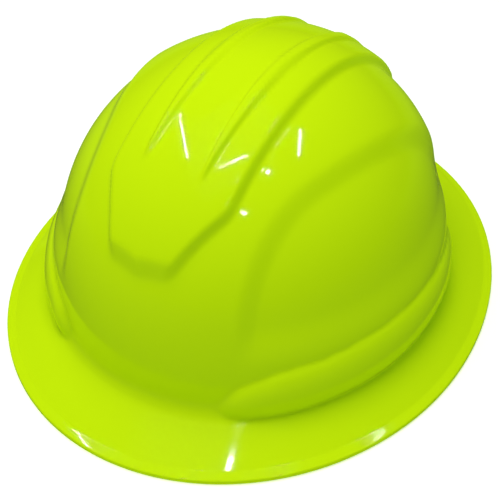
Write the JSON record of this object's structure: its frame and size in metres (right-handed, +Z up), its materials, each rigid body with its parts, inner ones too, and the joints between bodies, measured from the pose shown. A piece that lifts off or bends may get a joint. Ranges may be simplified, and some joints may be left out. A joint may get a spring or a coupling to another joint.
{
  "type": "full brim hard hat",
  "caption": "Full brim hard hat: moulded shell with a raised centre band, and a woven strap suspension inside with a headband sized by a geared knob at the nape.",
  "frame": {"origin": "middle of the brim's rim on the plane that the rim stands on", "axes": "+Z up through the crown, -Y the way the wearer looks, +X the wearer's left"},
  "size_m": [0.275, 0.324, 0.16],
  "materials": {
    "shell": "gloss, moulded in hi-vis lime yellow",
    "key": "satin moulded nylon",
    "webbing": "woven polyester webbing",
    "headband": "satin, soft moulded polyethylene",
    "pad": "knitted towelling over foam",
    "casing": "fine textured",
    "knob": "satin",
    "screw": "zinc plated"
  },
  "bodies": {
    "shell": {"shell": "shell"},
    "cradle": {"key_front_left": "key", "key_front_right": "key", "key_side_left": "key", "key_side_right": "key", "key_rear_left": "key", "key_rear_right": "key", "crown_strap_side": "webbing", "crown_strap_left_front": "webbing", "crown_strap_right_front": "webbing"},
    "headband": {"headband": "headband", "brow_pad": "pad", "rack_strap_left": "headband", "rack_strap_right": "headband", "strap_buttons": "key"},
    "nape": {"nape_housing": "casing", "nape_cover": "casing", "nape_pad": "pad"},
    "knob": {"pinion": "key", "ratchet_disc": "key", "knob": "knob", "knob_screw": "screw"}
  },
  "joints": [
    {"name": "suspension_release", "type": "slide", "parent": "shell", "child": "cradle", "axis": [0, 0, -1], "range_m": [0, 0.04]},
    {"name": "headband_height", "type": "slide", "parent": "cradle", "child": "headband", "axis": [0, 0, 1], "range_m": [-0.01, 0]},
    {"name": "size_adjust", "type": "slide", "parent": "headband", "child": "nape", "axis": [0, 1, 0], "range_m": [0, 0.021], "deforming": ["rack_strap_left", "rack_strap_right"]},
    {"name": "knob_turn", "type": "hinge", "parent": "nape", "child": "knob", "pos_m": [0, 0.076, 0.0195], "axis": [0, 1, 0], "range_deg": [0, 301]}
  ],
  "couplings": [
    {"joint": "knob_turn", "follows": "size_adjust", "rad_per_m": 250}
  ]
}
